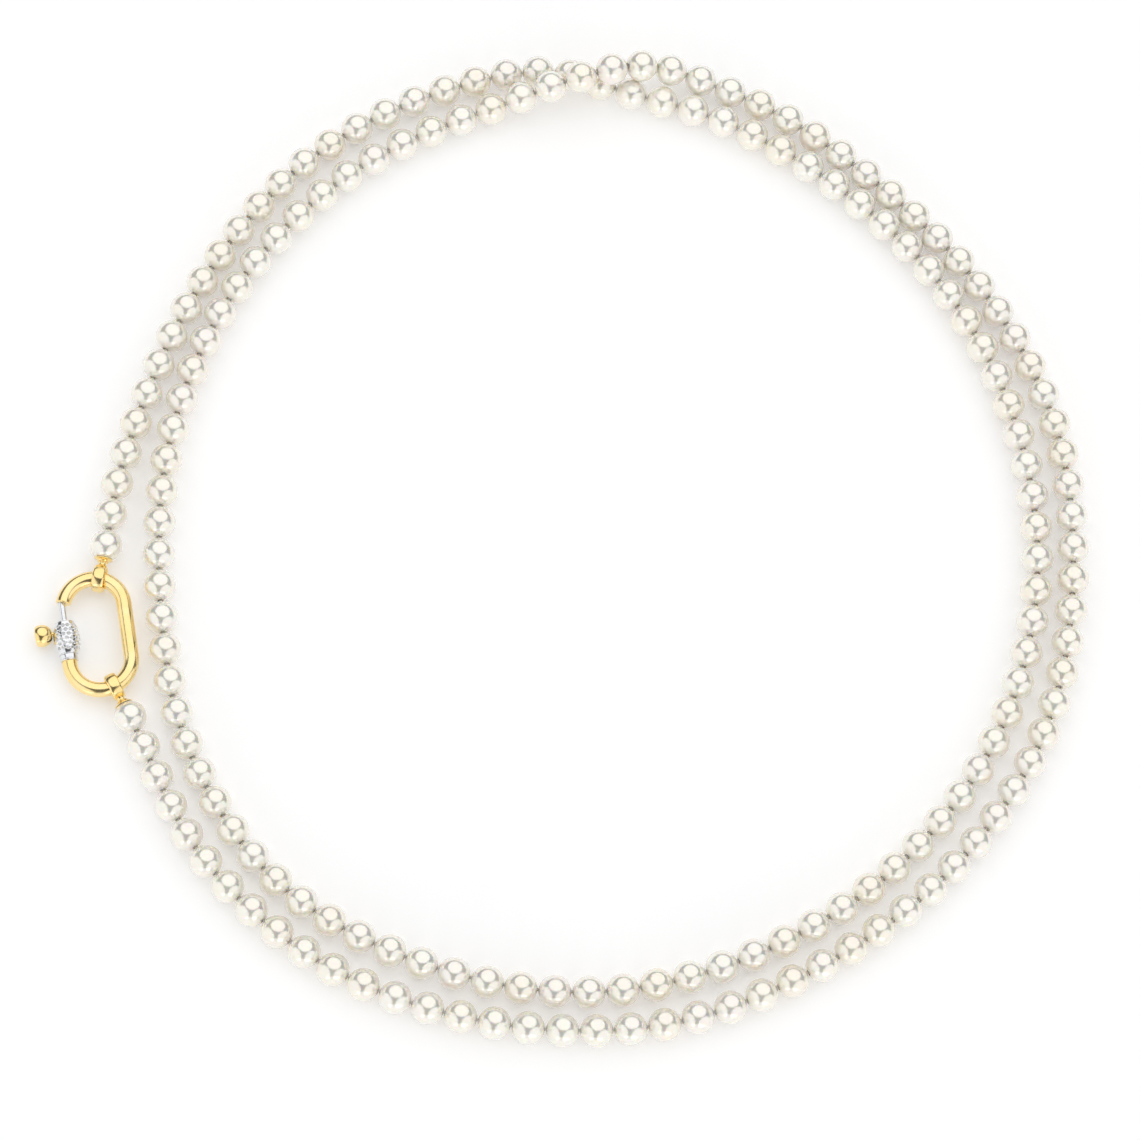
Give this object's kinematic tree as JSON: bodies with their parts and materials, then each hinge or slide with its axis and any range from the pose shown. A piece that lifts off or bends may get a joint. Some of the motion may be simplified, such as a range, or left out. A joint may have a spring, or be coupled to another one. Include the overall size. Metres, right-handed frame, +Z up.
{
  "type": "pearl necklace",
  "caption": "Long single-strand necklace of round white pearls in two turns, closed by a gold oval clasp with a stone-set barrel and a sprung bolt.",
  "frame": {"origin": "middle of the necklace's plan, on the surface that it lies on", "axes": "+Z up, +Y towards the crossing of the two turns, -X towards the clasp"},
  "size_m": [0.1586, 0.1572, 0.0096],
  "materials": {
    "pearl_nacre": "glossy cream-white nacre",
    "yellow_gold": "polished yellow gold",
    "white_metal": "polished white metal",
    "bolt_steel": "polished spring steel",
    "clear_stone": "clear faceted stone",
    "thread_silk": "twisted silk thread"
  },
  "bodies": {
    "strip_a": {"pearls_top_under_a": "pearl_nacre", "pearls_left_inner_a": "pearl_nacre", "pearls_bottom_outer_a": "pearl_nacre", "thread_a": "thread_silk", "end_pearl_upper": "pearl_nacre", "end_pearl_lower": "pearl_nacre"},
    "strip_b": {"pearls_top_under_b": "pearl_nacre", "pearls_bottom_inner_b": "pearl_nacre", "pearls_top_over_b": "pearl_nacre", "pearls_bottom_outer_b": "pearl_nacre", "thread_b": "thread_silk"},
    "strip_c": {"pearls_top_under_c": "pearl_nacre", "pearls_bottom_inner_c": "pearl_nacre", "pearls_top_over_c": "pearl_nacre", "pearls_bottom_outer_c": "pearl_nacre", "thread_c": "thread_silk"},
    "strip_d": {"pearls_top_under_d": "pearl_nacre", "pearls_bottom_inner_d": "pearl_nacre", "pearls_top_over_d": "pearl_nacre", "pearls_bottom_outer_d": "pearl_nacre", "thread_d": "thread_silk"},
    "strip_e": {"pearls_top_under_e": "pearl_nacre", "pearls_bottom_inner_e": "pearl_nacre", "pearls_top_over_e": "pearl_nacre", "pearls_bottom_outer_e": "pearl_nacre", "thread_e": "thread_silk"},
    "strip_f": {"pearls_top_under_f": "pearl_nacre", "pearls_bottom_inner_f": "pearl_nacre", "pearls_top_over_f": "pearl_nacre", "pearls_bottom_outer_f": "pearl_nacre", "thread_f": "thread_silk"},
    "strip_g": {"pearls_right_inner_g": "pearl_nacre", "pearls_right_outer_g": "pearl_nacre", "thread_g": "thread_silk"},
    "end_fittings": {"end_cap_upper": "yellow_gold", "end_cap_lower": "yellow_gold", "end_loop_upper": "yellow_gold", "end_loop_lower": "yellow_gold", "end_knot_upper": "thread_silk", "end_knot_lower": "thread_silk"},
    "clasp": {"clasp_frame": "yellow_gold", "clasp_barrel": "white_metal", "barrel_ferrule": "white_metal", "pave_stones": "clear_stone", "bolt_spring": "bolt_steel"},
    "bolt": {"bolt_pin": "bolt_steel", "knob_post": "yellow_gold", "bolt_knob": "yellow_gold"}
  },
  "joints": [
    {"name": "fold_c", "type": "hinge", "parent": "strip_d", "child": "strip_c", "pos_m": [-0.018, 0, 0.00245], "axis": [0, 1, 0], "range_deg": [-20, 20]},
    {"name": "fold_b", "type": "hinge", "parent": "strip_c", "child": "strip_b", "pos_m": [-0.04, 0, 0.00245], "axis": [0, 1, 0], "range_deg": [-20, 20]},
    {"name": "fold_a", "type": "hinge", "parent": "strip_b", "child": "strip_a", "pos_m": [-0.0575, 0, 0.00245], "axis": [0, 1, 0], "range_deg": [-20, 20]},
    {"name": "fold_e", "type": "hinge", "parent": "strip_d", "child": "strip_e", "pos_m": [0.028, 0, 0.00245], "axis": [0, -1, 0], "range_deg": [-20, 20]},
    {"name": "fold_f", "type": "hinge", "parent": "strip_e", "child": "strip_f", "pos_m": [0.0435, 0, 0.00245], "axis": [0, -1, 0], "range_deg": [-20, 20]},
    {"name": "fold_g", "type": "hinge", "parent": "strip_f", "child": "strip_g", "pos_m": [0.0605, 0, 0.00245], "axis": [0, -1, 0], "range_deg": [-20, 20]},
    {"name": "clasp_turn", "type": "hinge", "parent": "strip_a", "child": "end_fittings", "pos_m": [-0.06681, -0.0157, 0.00245], "axis": [-0.1596, 0.9872, 0], "range_deg": [-90, 100]},
    {"name": "frame_rock", "type": "hinge", "parent": "end_fittings", "child": "clasp", "pos_m": [-0.06848, -0.01597, 0.00236], "axis": [-0.1596, 0.9872, 0], "range_deg": [-8, 8]},
    {"name": "bolt_slide", "type": "slide", "parent": "clasp", "child": "bolt", "axis": [0.1596, -0.9872, 0], "range_m": [0, 0.0029], "stiffness_N_per_m": 200, "springref_m": -0.002, "deforming": ["bolt_spring"]}
  ]
}
